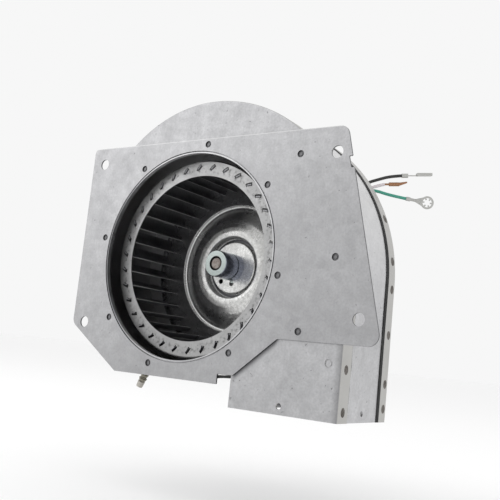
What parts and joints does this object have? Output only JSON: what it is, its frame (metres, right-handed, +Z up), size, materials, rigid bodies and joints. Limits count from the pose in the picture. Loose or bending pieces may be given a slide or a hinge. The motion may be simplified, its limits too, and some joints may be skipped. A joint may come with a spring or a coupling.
{
  "type": "combustion fan",
  "caption": "Sheet-metal scroll blower on a mounting plate with a round inlet, a squirrel-cage wheel, a downward rectangular outlet and a rear motor with leads.",
  "frame": {"origin": "centre of the round inlet, on the front face of the mounting plate", "axes": "+X to the right seen from the front, +Y back through the fan along the shaft, +Z up; the outlet faces -Z"},
  "size_m": [0.3038, 0.2062, 0.2526],
  "materials": {
    "galvanised": "satin",
    "wheel_steel": "satin",
    "zinc_plate": "satin",
    "turned_steel": "satin",
    "shaft_steel": "satin",
    "screw_steel": "satin",
    "sealant": "matte",
    "felt": "matte",
    "rubber": "matte",
    "motor_paint": "satin",
    "lamination": "satin",
    "copper": "satin",
    "bronze": "satin",
    "cast_aluminium": "satin",
    "tap_nickel": "satin",
    "tin_plate": "satin",
    "terminal_copper": "satin",
    "lead_black": "satin",
    "lead_white": "satin",
    "lead_green": "satin",
    "fan_plastic": "satin"
  },
  "bodies": {
    "housing": {"mounting_plate": "galvanised", "inlet_collar": "galvanised", "scroll_front": "galvanised", "scroll_wrap": "galvanised", "scroll_rear": "galvanised", "rim_seal": "sealant", "pressure_tap": "tap_nickel", "tap_nut": "tap_nickel", "shaft_seal": "felt", "seal_retainer": "galvanised", "retainer_rivets": "screw_steel", "motor_grommets": "rubber", "motor_spacers": "turned_steel", "motor_screws": "screw_steel", "motor_front_shield": "motor_paint", "motor_shell": "motor_paint", "motor_rear_shield": "motor_paint", "stator_core": "lamination", "stator_windings": "copper", "front_bearing": "bronze", "rear_bearing": "bronze", "through_bolts": "screw_steel", "bolt_nuts": "screw_steel", "lead_grommet": "rubber", "lead_black": "lead_black", "lead_white": "lead_white", "lead_green": "lead_green", "terminal_black": "tin_plate", "terminal_white": "terminal_copper", "terminal_green": "tin_plate"},
    "rotor": {"motor_shaft": "shaft_steel", "rotor_core": "lamination", "rotor_end_rings": "cast_aluminium", "thrust_washers": "bronze", "cooling_fan": "fan_plastic", "wheel_hub": "turned_steel", "hub_set_screw": "screw_steel", "wheel_back_disc": "zinc_plate", "wheel_front_ring": "wheel_steel", "wheel_blades": "wheel_steel"}
  },
  "joints": [
    {"name": "wheel_spin", "type": "hinge", "parent": "housing", "child": "rotor", "pos_m": [0, 0.06, 0], "axis": [0, 1, 0], "continuous": true}
  ]
}
